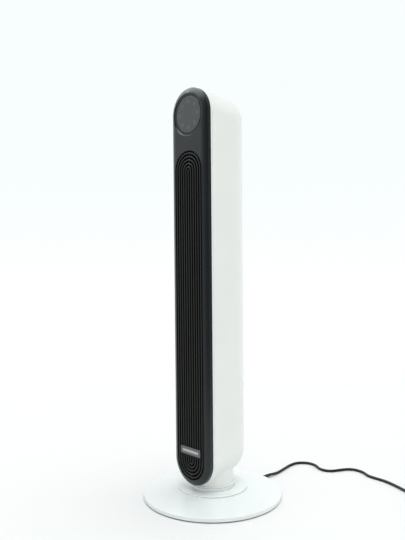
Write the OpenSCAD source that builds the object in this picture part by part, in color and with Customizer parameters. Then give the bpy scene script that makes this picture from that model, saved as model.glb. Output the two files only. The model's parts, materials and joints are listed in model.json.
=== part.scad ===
// Tower fan on a round foot: a cross-flow blower in a tall rounded housing that swings from side to side.
// Millimetres. Origin: centre of the foot, on the surface it stands on. The front faces -Y, up is +Z.

/* [Foot] */
// Diameter of the round foot
foot_d = 300; // [290:1:310]
// Height of the foot's rim above the surface
rim_top = 10.5; // [9:0.5:12]
// Height of the shallow dome where it meets the swivel seat
dome_top = 22; // [20:0.5:24]
// Diameter of the swivel seat in the middle of the foot
seat_d = 153; // [140:1:160]
// Height of the seat's top face
seat_top = 25; // [24:0.5:27]
// Number of rubber feet
feet_count = 6; // [4:1:8]

/* [Tower] */
// Highest point of the tower
tower_top = 880; // [860:1:900]
// Lowest point of the tower's housing
tower_bottom = 36.5; // [36:0.5:38]
// Width of the housing
tower_w = 109; // [106:1:112]
// Front edge of the white housing
housing_front = -48.7; // [-50:0.1:-47]
// Centre of the rounded back, measured from the swivel axis
back_centre = 21.5; // [20:0.5:24]
// How much lower the top of the housing is at its round back
back_drop = 7; // [4:0.5:9]
// How much higher the underside of the housing is at its round back
back_rise = 12; // [8:0.5:12]
// Wall thickness of the moulded shells
wall = 2.5; // [2:0.1:3]
// Diameter of the neck between the foot and the housing
neck_d = 90; // [86:1:94]
// Half of the swing from side to side, in degrees
swing = 40; // [30:5:45]

/* [Front panel] */
// Front face of the panel
face_y = -64; // [-66:0.1:-62]
// Half width of the flat part of the face
flat_half = 38; // [36:0.5:40]
// Depth of the dish that the display sits in
dish_depth = 2.5; // [1:0.1:3]
// Diameter of the round display window
display_d = 76; // [70:1:78]
// Distance between neighbouring grille slots
slot_pitch = 7.2; // [6.8:0.1:7.6]
// Width of one grille slat
slat_w = 3; // [2.5:0.1:3.5]
// Centre height of the grille's upper arches
grille_top_centre = 706.5; // [690:0.5:715]
// Distance between the ribs behind the slats
rib_pitch = 47.7; // [40:0.1:60]

/* [Blower] */
// Distance of the blower's axis behind the swivel axis
blower_y = 18; // [16:1:20]
// Radius of the cross-flow wheel
wheel_r = 38; // [36:0.5:39]
// Number of blades around the wheel
blade_count = 30; // [24:1:36]
// Number of moulded segments in the wheel
segment_count = 5; // [5:1:5]
// Lower end of the wheel
wheel_bottom = 154; // [152:1:156]
// Upper end of the wheel
wheel_top = 734; // [730:1:736]

/* [Swing drive] */
// Gear module
gear_m = 1.25; // [1.25:0.25:1.25]
// Teeth on the fixed gear
fixed_teeth = 32; // [32:1:32]
// Teeth on the drive pinion
pinion_teeth = 12; // [12:1:12]

/* [Mains cord] */
// Diameter of the cord
cord_d = 6; // [5.6:0.1:6.4]
// Middle diameter of the stored coil
coil_mid_d = 72; // [60:1:72]

/* [Hidden] */
$fn = 96;

// colours
white = [0.93, 0.94, 0.93];
black = [0.10, 0.11, 0.11];
dark = [0.20, 0.21, 0.22];
steel = [0.62, 0.63, 0.65];
board_green = [0.08, 0.30, 0.20];
copper = [0.72, 0.42, 0.22];
brass = [0.72, 0.60, 0.32];

// foot
foot_r = foot_d / 2;
plate_bottom = 2;
plate_top = 4.5;
skirt_r = foot_r - 2.7;
rim_round = 1.5;
seat_r = seat_d / 2;
spigot_r = 70;
spigot_bottom = 16;
screw_ring_r = foot_r - 12;
feet_ring_r = foot_r - 20;
weight_r = 125;
weight_top = 9.5;
relief_x = 14;
relief_z = 5.8;
relief_r = 3.8;
relief_tip_r = 3.3;
relief_len = 26;

// screws: holes, shanks and heads
hole_r = 1.8;
shank_r = 1.6;
head_r = 3.3;

// swivel
post_r = 14;
post_bore = 10;
post_bottom = 13;
post_top = 76;
post_flange_r = 34;
seat_screw_ring_r = 27;
seat_screw_count = 4;
hub_gap = 0.06;
hub_r = 20;
hub_bottom = 30;
hub_top = 46;
clip_gap = 0.4;
glide_r = 42;
glide_top = seat_top + 1.7;
neck_bottom = 27;
neck_r = neck_d / 2;
collar_r = 49;
lip_gap = 0.6;
lip_top = seat_top + 6.2;
collar_bottom = lip_top + lip_gap;
collar_top = collar_bottom + 3.2;

// housing
half_w = tower_w / 2;
top_centre = tower_top - half_w;
bottom_centre = tower_bottom + half_w;
trim_back = housing_front + 4.1;
seam = 0.4;
shell_front = trim_back + seam;
back_y = back_centre + half_w;
step_in = 0.1;
path_extra = 10;
path_front = housing_front - path_extra;
path_run = back_centre - housing_front;
top_back = top_centre - back_drop;
bottom_back = bottom_centre + back_rise;
plate_half = half_w - wall - 0.5;
frame_half = half_w - 0.3;
shoulder_drop = 5;
shoulder_x = frame_half - 1.2;
edge_drop = 2.4;
display_r = display_d / 2;
ring_r = display_r + 1.6;
display_y = face_y + dish_depth;
display_z = top_centre - 2;
dish_r = display_r + 7;
dish_wall = 2;
lens_h = 2;
lens_back = display_y + 1.4;
holder_r = display_r + 3;
holder_h = 10.5;
key_count = 8;
key_ring_r = 27;

// intake window and its louvres
window_bottom = 160;
window_top = 724;
window_half_angle = 58;
louvre_pitch = 9.4;
louvre_gap = 4.8;
louvre_angle = 33;
louvre_step = 36;

// grille
grille_r = 5.5 * slot_pitch + 2.8;
grille_front = face_y + 0.2;
slat_back = face_y + 6;
rib_back = face_y + 8.5;
rib_low = 132.5;
rib_count = 12;
rib_h = 2.2;
badge_w = 62;
badge_h = 16;
badge_z = 111;
badge_round = 2;
badge_thickness = 1.1;

// screws that hold the panel to the housing
screw_x = half_w - 7;
screw_heights = [110, 240, 390, 540, 690, 800];

// swing drive
fixed_pitch_r = gear_m * fixed_teeth / 2;
pinion_pitch_r = gear_m * pinion_teeth / 2;
pinion_y = fixed_pitch_r + pinion_pitch_r;
gear_z = 60;
gear_h = 8;
drive_plate_z = 69.5;
drive_plate_top = 71.5;
stepper_y = pinion_y + 8;
stepper_r = 14;
stepper_h = 19;
pinion_shaft_r = 2.5;

// blower motor
motor_bottom = 96;
motor_top = 140;
motor_r = 36;
shaft_r = 4;
shaft_bottom = 93;
bush_r = 8;
bush_gap = 0.05;
bush_h = 5;
rotor_r = 17;
stator_r = motor_r - 1.5;
stator_bottom = 108;
stator_top = 128;
winding_h = 7;
bulkhead_z = 143;
bulkhead_h = 3;
upper_z = 740;
shaft_top = wheel_bottom + 12;
segment_len = (wheel_top - wheel_bottom) / segment_count;
disc_h = 1.6;
cushion_r = 14;
upper_bush_r = 9;
boss_h = 12;

// cord route: straight out of the foot, along the surface in loose bends, then into the coil
cord_r = cord_d / 2;
route = [[14, 176, 5.8], [13.6, 190, 4.4], [12, 205, 3.2], [9, 221, 3], [4.5, 241, 3], [0, 262, 3],
    [-1, 287, 3], [8, 304, 3], [25, 313, 3], [43, 311, 3], [66, 299, 3], [83, 299, 3],
    [96, 308, 3], [105, 326, 3], [116, 345, 3], [132, 354, 3], [153, 352, 3], [176, 341, 3],
    [198, 339, 3], [220, 338, 3], [242, 333, 3], [263, 326, 3], [283, 318, 3], [298, 313, 3],
    [312, 308.8, 3]];
coil_x = 327;
coil_y = 348;
coil_out_r = coil_mid_d / 2 + 1.5 * cord_d;
coil_in_r = coil_mid_d / 2 - 1.5 * cord_d;
coil_h = 2 * cord_d;
tail_angle = 30;
tail_r = coil_out_r - cord_r;
plug_z = coil_h - cord_r;
relief_start = 16;
plug_relief_len = 24;
plug_start = relief_start + plug_relief_len;
plug_flange = 24;
plug_face = plug_flange + 8;
blade_spacing = 12.7;
blade_w = 1.6;
blade_h = 6.4;
blade_back = 22;
blade_len = 27;
sides = 10;

// electronics behind the bottom of the grille
tray_y = -38;
tray_w = 83;
tray_top = 138;
tray_low_r = 48;
tray_h = 2;
board_w = 66;
board_h = 56;
board_bottom = 78;
board_thickness = 1.6;

// ---------- helpers ----------

function arc(cx, cy, r, a0, a1, n = 8) =
    [for (i = [0:n]) [cx + r * cos(a0 + (a1 - a0) * i / n), cy + r * sin(a0 + (a1 - a0) * i / n)]];

module tube(r_out, r_in, z0, z1)
    translate([0, 0, z0]) difference() {
        cylinder(r = r_out, h = z1 - z0);
        translate([0, 0, -1]) cylinder(r = r_in, h = z1 - z0 + 2);
    }

module around(count, r, first = 0)
    for (i = [0:count - 1]) rotate([0, 0, first + i * 360 / count]) translate([r, 0, 0]) children();

// A section in (distance from the middle, depth) carried round the tower's stadium outline
module round_the_stadium(pts, lo = bottom_centre, hi = top_centre) {
    translate([0, 0, hi]) rotate([90, 0, 0])
        rotate_extrude(angle = 180) polygon([for (p = pts) [p[0], -p[1]]]);
    translate([0, 0, lo]) rotate([-90, 0, 0]) rotate_extrude(angle = 180) polygon(pts);
    translate([0, 0, lo]) linear_extrude(hi - lo) polygon(pts);
    translate([0, 0, lo]) mirror([1, 0, 0]) linear_extrude(hi - lo) polygon(pts);
}

module stadium_2d(r, lo, hi) {
    translate([0, lo]) circle(r);
    translate([0, hi]) circle(r);
    translate([-r, lo]) square([2 * r, hi - lo]);
}

// Stadium seen from the front, as a slab from depth y0 to y1
module stadium_slab(r, y0, y1, lo = bottom_centre, hi = top_centre)
    translate([0, y1, 0]) rotate([90, 0, 0]) linear_extrude(y1 - y0) stadium_2d(r, lo, hi);

module stadium_ring(r_out, r_in, y0, y1, lo, hi)
    translate([0, y1, 0]) rotate([90, 0, 0]) linear_extrude(y1 - y0) difference() {
        stadium_2d(r_out, lo, hi);
        stadium_2d(r_in, lo, hi);
    }

// Round ridge from the middle of the round back to past the front edge
module ridge(r, z_front, z_back)
    translate([0, back_centre, z_back]) rotate([90 + atan((z_back - z_front) / path_run), 0, 0])
        cylinder(r = r, h = path_run + 20);

// The housing's outer form, shrunk by c, between two depths. Where round faces run into each other or
// into the sides, they are a step apart, so that they cross cleanly.
module housing_solid(c, front, back = back_y + 1) {
    r = half_w - c;
    side = r - 2 * step_in;
    intersection() {
        union() {
            translate([-side, 0, 0]) rotate([90, 0, 90]) linear_extrude(2 * side) polygon([
                [path_front, bottom_centre - path_extra * back_rise / path_run], [back_centre, bottom_back],
                [back_centre, top_back], [path_front, top_centre + path_extra * back_drop / path_run]]);
            translate([0, back_centre, bottom_back]) cylinder(r = r - step_in, h = top_back - bottom_back);
            for (z = [bottom_back, top_back]) translate([0, back_centre, z]) sphere(r);
            ridge(r - step_in, top_centre, top_back);
            ridge(r - step_in, bottom_centre, bottom_back);
        }
        translate([-half_w - 1, front, 0]) cube([tower_w + 2, back - front, tower_top + 20]);
    }
}

// A plate that fills the inside of the housing from z0 to z1: straight sides and a round back
module inner_plate(z0, z1, front_half, back_r) translate([0, 0, z0]) linear_extrude(z1 - z0) {
    translate([0, back_centre]) circle(back_r);
    polygon([[-front_half, -36], [front_half, -36], [back_r, back_centre], [-back_r, back_centre]]);
}

module screw_along_y(head_y, tip_y, r = 1.5, head_r = 3.2, head_h = 2) {
    translate([0, head_y, 0]) rotate([90, 0, 0]) cylinder(r = r, h = head_y - tip_y);
    translate([0, head_y + head_h, 0]) rotate([90, 0, 0]) cylinder(r = head_r, h = head_h);
}

module at_housing_screws()
    for (z = screw_heights, side = [-1, 1]) translate([side * screw_x, 0, z]) children();

// Involute gear outline with backlash
function inv(a) = tan(a) * 180 / PI - a;
function flank(r, rb) = r <= rb ? 0 : inv(acos(rb / r));
module gear_2d(teeth, first, backlash = 0.2) {
    rp = gear_m * teeth / 2;
    rb = rp * cos(20);
    ra = rp + 0.8 * gear_m;
    rf = rp - 1.1 * gear_m;
    low = max(rb, rf);
    radii = concat([rf], [for (i = [0:4]) low + (ra - low) * i / 4]);
    half = 90 / teeth - backlash / 2 / rp * 180 / PI + inv(20);
    polygon([for (t = [0:teeth - 1]) each concat(
        [for (r = radii) let(a = first + t * 360 / teeth - half + flank(r, rb)) r * [cos(a), sin(a)]],
        [for (i = [len(radii) - 1:-1:0]) let(r = radii[i], a = first + t * 360 / teeth + half - flank(r, rb))
            r * [cos(a), sin(a)]])]);
}

// ---------- foot ----------

module base_cover() color(white) difference() {
    union() {
        rotate_extrude() polygon(concat(
            [[skirt_r, plate_bottom], [foot_r - 1, plate_bottom], [foot_r, plate_bottom + 1]],
            arc(foot_r - rim_round, rim_top - rim_round, rim_round, 0, 81, 6),
            [[seat_r + 1, dome_top], [spigot_r, dome_top], [spigot_r, dome_top - wall],
             [seat_r + 1, dome_top - wall], [skirt_r, rim_top - wall + 0.4]]));
        around(feet_count, screw_ring_r, 30) translate([0, 0, plate_top]) cylinder(r = 4, h = 5);
    }
    around(feet_count, screw_ring_r, 30) translate([0, 0, plate_top - 1]) cylinder(r = shank_r, h = 5);
    translate([relief_x, foot_r + 5, relief_z]) rotate([90, 0, 0]) cylinder(r = relief_r, h = 12);
    translate([relief_x - relief_r, foot_r - 7, 0]) cube([2 * relief_r, 12, relief_z]);
}

module base_plate() color(dark) difference() {
    translate([0, 0, plate_bottom]) cylinder(r = skirt_r, h = plate_top - plate_bottom);
    around(feet_count, screw_ring_r, 30) {
        cylinder(r = hole_r, h = 20);
        cylinder(r = 3.6, h = plate_bottom + 1.4);
    }
    translate([relief_x - relief_r, foot_r - 12, 0]) cube([2 * relief_r, 12, 10]);
}

module counterweight() color(steel) tube(weight_r, 40, plate_top, weight_top);

module rubber_feet() color(black)
    around(feet_count, feet_ring_r) rotate_extrude()
        polygon([[0, 0], [8, 0], [9, 0.8], [9, plate_bottom], [0, plate_bottom]]);

module base_screws() color(steel)
    around(feet_count, screw_ring_r, 30) {
        translate([0, 0, plate_bottom + 1.4]) cylinder(r = shank_r, h = 5);
        translate([0, 0, plate_bottom + 0.2]) cylinder(r = head_r, h = 1.2);
    }

module at_seat_screws() around(seat_screw_count, seat_screw_ring_r, 45) children();

module swivel_seat() color(white) difference() {
    rotate_extrude() polygon([[post_r, spigot_bottom], [spigot_r, spigot_bottom], [spigot_r, dome_top],
        [seat_r, dome_top], [seat_r, seat_top - 1], [seat_r - 1, seat_top], [post_r, seat_top]]);
    at_seat_screws() translate([0, 0, spigot_bottom - 1]) cylinder(r = shank_r, h = 7);
    tube(60, 38, spigot_bottom - 1, seat_top - wall);
}

module seat_lip() color(white) tube(collar_r, neck_r + lip_gap, seat_top, lip_top);

module seat_screws() color(steel)
    at_seat_screws() {
        translate([0, 0, post_bottom]) cylinder(r = shank_r, h = 9);
        translate([0, 0, post_bottom - 2]) cylinder(r = 3, h = 2);
    }

module glide_ring() color([0.85, 0.85, 0.82]) tube(glide_r, post_flange_r, seat_top, glide_top);

module swivel_post() color(steel) difference() {
    union() {
        translate([0, 0, post_bottom]) cylinder(r = post_flange_r, h = spigot_bottom - post_bottom);
        translate([0, 0, post_bottom]) cylinder(r = post_r, h = post_top - post_bottom);
    }
    translate([0, 0, post_bottom - 3]) cylinder(r = post_bore, h = post_top);
    at_seat_screws() translate([0, 0, post_bottom - 1]) cylinder(r = shank_r, h = 6);
}

module fixed_gear() color([0.88, 0.88, 0.84]) translate([0, 0, gear_z]) difference() {
    linear_extrude(gear_h) gear_2d(fixed_teeth, 90);
    translate([0, 0, -1]) cylinder(r = post_r, h = gear_h + 2);
}

module post_clip() color(steel) tube(post_r + 5, post_r, hub_top + clip_gap, hub_top + clip_gap + 2);

// ---------- mains cord ----------

module cord_strain_relief() color(black) translate([relief_x, foot_r - 4, relief_z]) rotate([-90, 0, 0])
    rotate_extrude() polygon([[0, 0], [relief_r, 0], [relief_r, 6],
        [relief_tip_r, 4 + relief_len], [0, 4 + relief_len]]);

// Tangent of the route at point i, and points halfway between on a smooth curve
function cut(i) = max(0, min(len(route) - 1, i));
function between(i, t) =
    let(a = route[cut(i - 1)], b = route[i], c = route[cut(i + 1)], d = route[cut(i + 2)])
    0.5 * (2 * b + (c - a) * t + (2 * a - 5 * b + 4 * c - d) * t * t + (3 * b - a - 3 * c + d) * t * t * t);
line = [for (i = [0:len(route) - 2], s = [0:2]) between(i, s / 3), route[len(route) - 1]];
function along(i) = let(a = line[max(0, i - 1)], b = line[min(len(line) - 1, i + 1)],
    v = i == 0 ? [0, 1, 0] : b - a) v / norm(v);
function unit(v) = v / norm(v);
module power_cord() color(black)
    polyhedron(
        points = [for (i = [0:len(line) - 1], k = [0:sides - 1])
            let(t = along(i), u = unit(cross([0, 0, 1], t)), v = cross(t, u), a = k * 360 / sides)
            line[i] + cord_r * (cos(a) * u + sin(a) * v)],
        faces = concat(
            [[for (k = [0:sides - 1]) k]],
            [for (i = [0:len(line) - 2], k = [0:sides - 1]) let(n = (k + 1) % sides)
                [i * sides + k, (i + 1) * sides + k, (i + 1) * sides + n, i * sides + n]],
            [[for (k = [sides - 1:-1:0]) (len(line) - 1) * sides + k]]));

module cord_coil() color(black) translate([coil_x, coil_y, 0]) rotate_extrude()
    polygon([[coil_in_r, 1], [coil_in_r + 1, 0], [coil_out_r - 1, 0], [coil_out_r, 1],
        [coil_out_r, coil_h - 1], [coil_out_r - 1, coil_h],
        [coil_in_r + 1, coil_h], [coil_in_r, coil_h - 1]]);

module coil_tie() color(dark) translate([coil_x, coil_y, 0]) rotate([0, 0, 120]) difference() {
    translate([coil_in_r - 1.2, -4, 0]) cube([coil_out_r - coil_in_r + 2.4, 8, coil_h + 1.2]);
    rotate([0, 0, -20]) rotate_extrude(angle = 40)
        polygon([[coil_in_r, -1], [coil_out_r, -1], [coil_out_r, coil_h], [coil_in_r, coil_h]]);
}

// The plug lies beside the coil, on the line that the last turn leaves along
module on_tail(s) translate([coil_x + tail_r * cos(tail_angle), coil_y + tail_r * sin(tail_angle), plug_z])
    rotate([0, 0, tail_angle]) translate([0, s, 0]) children();

module plug_relief() color(black) on_tail(relief_start) rotate([-90, 0, 0]) rotate_extrude()
    polygon([[0, 0], [3.3, 0], [5.5, plug_relief_len], [0, plug_relief_len]]);

module plug_body() color(black) on_tail(plug_start) difference() {
    union() {
        translate([-9, 4, -7]) cube([18, plug_face - 8, 14]);
        translate([-12, plug_flange, -9]) cube([24, plug_face - plug_flange, 18]);
        rotate([-90, 0, 0]) cylinder(r = 7, h = 5);
    }
    blade_pair(plug_face - 12);
}

module blade_pair(length)
    for (side = [-1, 1])
        translate([side * blade_spacing / 2 - blade_w / 2, blade_back, -blade_h / 2])
            cube([blade_w, length, blade_h]);

module plug_blades() color(brass) on_tail(plug_start) blade_pair(blade_len);

// ---------- tower: swivel and housing ----------

module neck() color(white) difference() {
    translate([0, 0, neck_bottom]) cylinder(r = neck_r, h = 45);
    translate([0, 0, hub_bottom]) cylinder(r = neck_r - wall, h = 45);
    translate([0, 0, neck_bottom - 1]) cylinder(r = hub_r + 2, h = 5);
    housing_solid(0, housing_front);
}

module neck_collar() color(white) rotate_extrude()
    polygon([[neck_r, collar_bottom], [collar_r, collar_bottom], [collar_r, collar_top - 1],
        [collar_r - 1, collar_top], [neck_r, collar_top]]);

module swivel_hub() color([0.85, 0.85, 0.82]) difference() {
    union() {
        translate([0, 0, hub_bottom]) cylinder(r = 40, h = 3);
        translate([0, 0, hub_bottom]) cylinder(r = hub_r, h = hub_top - hub_bottom);
    }
    translate([0, 0, hub_bottom - 1]) cylinder(r = post_r + hub_gap, h = hub_top);
}

module intake_sector(r_out, r_in, z0, z1, half_angle)
    translate([0, back_centre, z0]) rotate([0, 0, 90 - half_angle])
        rotate_extrude(angle = 2 * half_angle)
            polygon([[r_in, 0], [r_out, 0], [r_out, z1 - z0], [r_in, z1 - z0]]);

module rear_housing() color(white) difference() {
    union() {
        difference() {
            housing_solid(0, shell_front);
            housing_solid(wall, shell_front - 1);
        }
        at_housing_screws() translate([0, shell_front + 13, 0]) rotate([90, 0, 0]) cylinder(r = 5, h = 13);
    }
    at_housing_screws() translate([0, shell_front + 20, 0]) rotate([90, 0, 0]) cylinder(r = shank_r, h = 30);
    translate([0, 0, tower_bottom - 2]) cylinder(r = neck_r - wall, h = 30);
    intake_sector(half_w + 5, half_w - 8, window_bottom, window_top, window_half_angle);
}

module intake_grille() color(white) difference() {
    intake_sector(half_w - 0.2, half_w - wall, window_bottom + 0.3, window_top - 0.3,
        window_half_angle - 0.3);
    for (z = [window_bottom + 12:louvre_pitch:window_top - 12], part = [-1, 0, 1])
        louvre_opening(z, part);
}

module louvre_opening(z, part)
    translate([0, back_centre, z - louvre_gap / 2])
        rotate([0, 0, 90 + part * louvre_step - louvre_angle / 2])
            rotate_extrude(angle = louvre_angle) translate([half_w - 6, 0]) square([9, louvre_gap]);

module housing_trim() color(white) difference() {
    housing_solid(0, housing_front, trim_back);
    housing_solid(wall, housing_front - 1, trim_back + 1);
}

// ---------- tower: front panel ----------

shoulder_dx = shoulder_x - flat_half;
shoulder_r = (shoulder_dx * shoulder_dx + shoulder_drop * shoulder_drop) / (2 * shoulder_drop);
shoulder_a = asin(shoulder_dx / shoulder_r);

panel_section = concat(
    [[0, face_y], [flat_half, face_y]],
    arc(flat_half, face_y + shoulder_r, shoulder_r, -90, -90 + shoulder_a, 10),
    [[frame_half, face_y + shoulder_drop + edge_drop], [frame_half, housing_front],
     [frame_half - wall, housing_front], [frame_half - wall, face_y + shoulder_drop + wall + 1],
     [flat_half + 4, face_y + wall], [0, face_y + wall]]);

module front_frame() color(black) difference() {
    union() {
        round_the_stadium(panel_section);
        translate([0, display_y + wall, display_z]) rotate([90, 0, 0]) cylinder(r = dish_r + 2, h = 3);
        at_housing_screws() translate([0, housing_front, 0]) rotate([90, 0, 0])
            cylinder(r = 4, h = 8);
        at_housing_screws() translate([0, shell_front, 0]) rotate([90, 0, 0])
            cylinder(r = 4, h = shell_front - housing_front);
    }
    stadium_slab(grille_r, face_y - 1, housing_front, bottom_centre, grille_top_centre);
    translate([0, display_y, display_z]) rotate([90, 0, 0])
        cylinder(r1 = dish_r - dish_wall, r2 = dish_r + dish_wall, h = 2 * dish_depth);
    translate([0, lens_back, display_z]) rotate([90, 0, 0]) cylinder(r = ring_r, h = 5);
    translate([0, housing_front, display_z]) rotate([90, 0, 0]) cylinder(r = display_r - 3, h = 20);
    at_housing_screws() translate([0, shell_front + 1, 0]) rotate([90, 0, 0]) cylinder(r = 1.5, h = 9);
}

module front_grille() color(black) {
    stadium_ring(grille_r - 0.2, grille_r - 1.4, face_y, rib_back, bottom_centre, grille_top_centre);
    for (k = [1:5]) stadium_ring(k * slot_pitch + slat_w / 2, k * slot_pitch - slat_w / 2,
        grille_front, slat_back, bottom_centre, grille_top_centre);
    stadium_slab(slat_w / 2, grille_front, slat_back, bottom_centre, grille_top_centre);
    for (i = [-1:rib_count]) grille_rib(rib_low + i * rib_pitch);
    for (z = [bottom_centre - grille_r + 1, grille_top_centre])
        translate([-1.2, slat_back - 2, z]) cube([2.4, rib_back - slat_back + 2, grille_r - 1]);
}

module grille_rib(z) translate([-(grille_r - 1), slat_back - 2, z - rib_h / 2])
    cube([2 * (grille_r - 1), rib_back - slat_back + 2, rib_h]);

// Blank plate with rounded corners
module badge_plate() color(steel) translate([0, face_y - 0.9 + badge_thickness, badge_z])
    rotate([90, 0, 0]) linear_extrude(badge_thickness) {
        square([badge_w, badge_h - 2 * badge_round], center = true);
        square([badge_w - 2 * badge_round, badge_h], center = true);
        for (x = [-1, 1], y = [-1, 1])
            translate([x * (badge_w / 2 - badge_round), y * (badge_h / 2 - badge_round)])
                circle(badge_round);
    }

// Places a round part of the display with its back face at depth y; it grows towards the front
module on_display(y) translate([0, y, display_z]) rotate([90, 0, 0]) children();

module display_lens() color([0.25, 0.26, 0.27]) on_display(lens_back) cylinder(r = display_r, h = lens_h);

module display_ring() color(dark) on_display(lens_back) difference() {
    cylinder(r = ring_r, h = 1.4);
    translate([0, 0, -1]) cylinder(r = display_r, h = 5);
}

module display_holder() color(black) on_display(display_y + 13) difference() {
    cylinder(r = holder_r, h = holder_h);
    translate([0, 0, 5]) cylinder(r = holder_r - 4, h = holder_h);
}

module display_board() color(board_green) on_display(display_y + 8)
    cylinder(r = holder_r - 4.5, h = board_thickness);

module touch_springs() color(steel) on_display(display_y + 6.4)
    around(key_count, key_ring_r) cylinder(r = 2.5, h = 5);

// ---------- tower: electronics ----------

// The tray also closes the housing off behind the grille's lower arches
module board_tray() color(dark) {
    translate([0, tray_y, 0]) rotate([90, 0, 0]) linear_extrude(tray_h) {
        translate([-tray_w / 2, bottom_centre]) square([tray_w, tray_top - bottom_centre]);
        intersection() {
            translate([0, bottom_centre]) circle(tray_low_r);
            translate([-tray_low_r, bottom_centre - tray_low_r]) square([2 * tray_low_r, tray_low_r]);
        }
    }
    for (side = [-1, 1], z = [board_bottom + 4, board_bottom + board_h - 4])
        translate([side * (board_w / 2 - 5), tray_y + 2, z]) rotate([90, 0, 0]) cylinder(r = 3, h = 3);
}

module control_board() color(board_green) translate([-board_w / 2, tray_y + 2, board_bottom])
    cube([board_w, board_thickness, board_h]);

module board_parts() color(dark) translate([0, tray_y + 2 + board_thickness, 0]) {
    translate([-28, 0, 92]) cube([18, 12, 15]);
    translate([4, 0, 90]) cube([20, 11, 16]);
    for (x = [-22, -6, 10]) translate([x, 10, 122]) rotate([90, 0, 0]) cylinder(r = 5, h = 10);
}

module housing_screws() color(steel)
    at_housing_screws() screw_along_y(shell_front + 13, housing_front - 3.3);

// ---------- tower: swing drive ----------

module drive_plate() color(dark) difference() {
    inner_plate(drive_plate_z, drive_plate_top, 45, 38);
    translate([0, 0, drive_plate_z - 1]) cylinder(r = post_r + 6, h = 5);
    translate([0, pinion_y, drive_plate_z - 1]) cylinder(r = 3.2, h = 5);
}

module drive_motor() color(steel) difference() {
    union() {
        translate([0, stepper_y, drive_plate_top]) cylinder(r = stepper_r, h = stepper_h);
        translate([-21, stepper_y - 3.5, drive_plate_top]) cube([42, 7, 1]);
    }
    translate([0, pinion_y, drive_plate_top - 1]) cylinder(r = pinion_shaft_r + hub_gap, h = 7);
}

module drive_pinion() color(brass) {
    translate([0, pinion_y, gear_z]) linear_extrude(gear_h) gear_2d(pinion_teeth, -90 + 180 / pinion_teeth);
    translate([0, pinion_y, gear_z]) cylinder(r = pinion_shaft_r, h = drive_plate_top + 5 - gear_z);
}

// ---------- tower: blower ----------

module on_blower() translate([0, blower_y, 0]) children();

module motor_housing() color(steel) on_blower() difference() {
    translate([0, 0, motor_bottom]) cylinder(r = motor_r, h = 30);
    translate([0, 0, motor_bottom + 2]) cylinder(r = stator_r, h = 30);
    translate([0, 0, motor_bottom - 1]) cylinder(r = bush_r, h = 5);
}

module motor_cap() color(steel) on_blower() difference() {
    translate([0, 0, motor_bottom + 30]) cylinder(r = motor_r, h = motor_top - motor_bottom - 30);
    translate([0, 0, motor_bottom + 29]) cylinder(r = stator_r, h = motor_top - motor_bottom - 31);
    translate([0, 0, motor_top - 3]) cylinder(r = bush_r, h = 5);
}

module motor_stator() color([0.4, 0.4, 0.42]) on_blower() 
    tube(stator_r, rotor_r + 0.5, stator_bottom, stator_top);

module motor_windings() color(copper) on_blower() {
    tube(stator_r - 3.5, rotor_r + 3, stator_bottom - winding_h, stator_bottom);
    tube(stator_r - 3.5, rotor_r + 3, stator_top, stator_top + winding_h);
}

module motor_bushes() color(brass) on_blower() {
    tube(bush_r, shaft_r + bush_gap, motor_bottom, motor_bottom + bush_h);
    tube(bush_r, shaft_r + bush_gap, motor_top - bush_h, motor_top);
}

module motor_dampers() color(black) on_blower() translate([0, 0, motor_top])
    around(3, 25, 90) cylinder(r = 5, h = bulkhead_z - motor_top);

module motor_shaft() color(steel) on_blower()
    translate([0, 0, shaft_bottom]) cylinder(r = shaft_r, h = shaft_top - shaft_bottom);

module motor_rotor() color([0.5, 0.5, 0.52]) on_blower() 
    tube(rotor_r, shaft_r, stator_bottom - 2, stator_top + 2);

module lower_bulkhead() color(dark) difference() {
    inner_plate(bulkhead_z, bulkhead_z + bulkhead_h, plate_half, plate_half);
    on_blower() translate([0, 0, bulkhead_z - 1]) cylinder(r = 9, h = 5);
}

module upper_bulkhead() color(dark) difference() {
    union() {
        inner_plate(upper_z, upper_z + bulkhead_h, plate_half, plate_half);
        on_blower() translate([0, 0, upper_z]) cylinder(r = cushion_r + 3, h = boss_h);
    }
    on_blower() translate([0, 0, upper_z - 1]) cylinder(r = cushion_r, h = boss_h + 2);
}

module bearing_cushion() color(black) on_blower() tube(cushion_r, upper_bush_r, upper_z, upper_z + boss_h);

module upper_bush() color(brass) on_blower()
    tube(upper_bush_r, shaft_r + bush_gap, upper_z + 1, upper_z + boss_h - 1);

// Blade section: a thin curved strip from the inner to the outer radius of the wheel
blade_in = wheel_r - 11;
function blade_mid(t) =
    let(r = blade_in + (wheel_r - 0.6 - blade_in) * t, a = 34 * t * t) r * [cos(a), sin(a)];
function blade_side(t, s) = let(d = unit(blade_mid(t + 0.01) - blade_mid(t - 0.01)))
    blade_mid(t) + s * 0.6 * [-d[1], d[0]];
module blade_2d() polygon(concat(
    [for (i = [0:5]) blade_side(i / 5, 1)], [for (i = [5:-1:0]) blade_side(i / 5, -1)]));

module wheel_segment(i) color([0.30, 0.31, 0.32]) on_blower()
    translate([0, 0, wheel_bottom + (i - 1) * segment_len])
    difference() {
        union() {
            cylinder(r = wheel_r, h = disc_h);
            if (i == 1) cylinder(r = 10, h = 12);
            if (i == segment_count)
                translate([0, 0, segment_len - disc_h]) cylinder(r = wheel_r, h = disc_h);
            linear_extrude(segment_len) for (k = [0:blade_count - 1])
                rotate([0, 0, k * 360 / blade_count]) blade_2d();
        }
        translate([0, 0, -1]) cylinder(r = i == 1 ? shaft_r : blade_in - 4, h = i == 1 ? 20 : disc_h + 2);
        if (i == segment_count) translate([0, 0, segment_len - 4]) cylinder(r = shaft_r, h = 8);
    }

module wheel_stub_shaft() color(steel) on_blower() {
    translate([0, 0, wheel_top - disc_h]) cylinder(r = shaft_r, h = upper_z + 14 - wheel_top + disc_h);
    translate([0, 0, wheel_top - disc_h - 3]) cylinder(r = upper_bush_r, h = 3);
}

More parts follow.
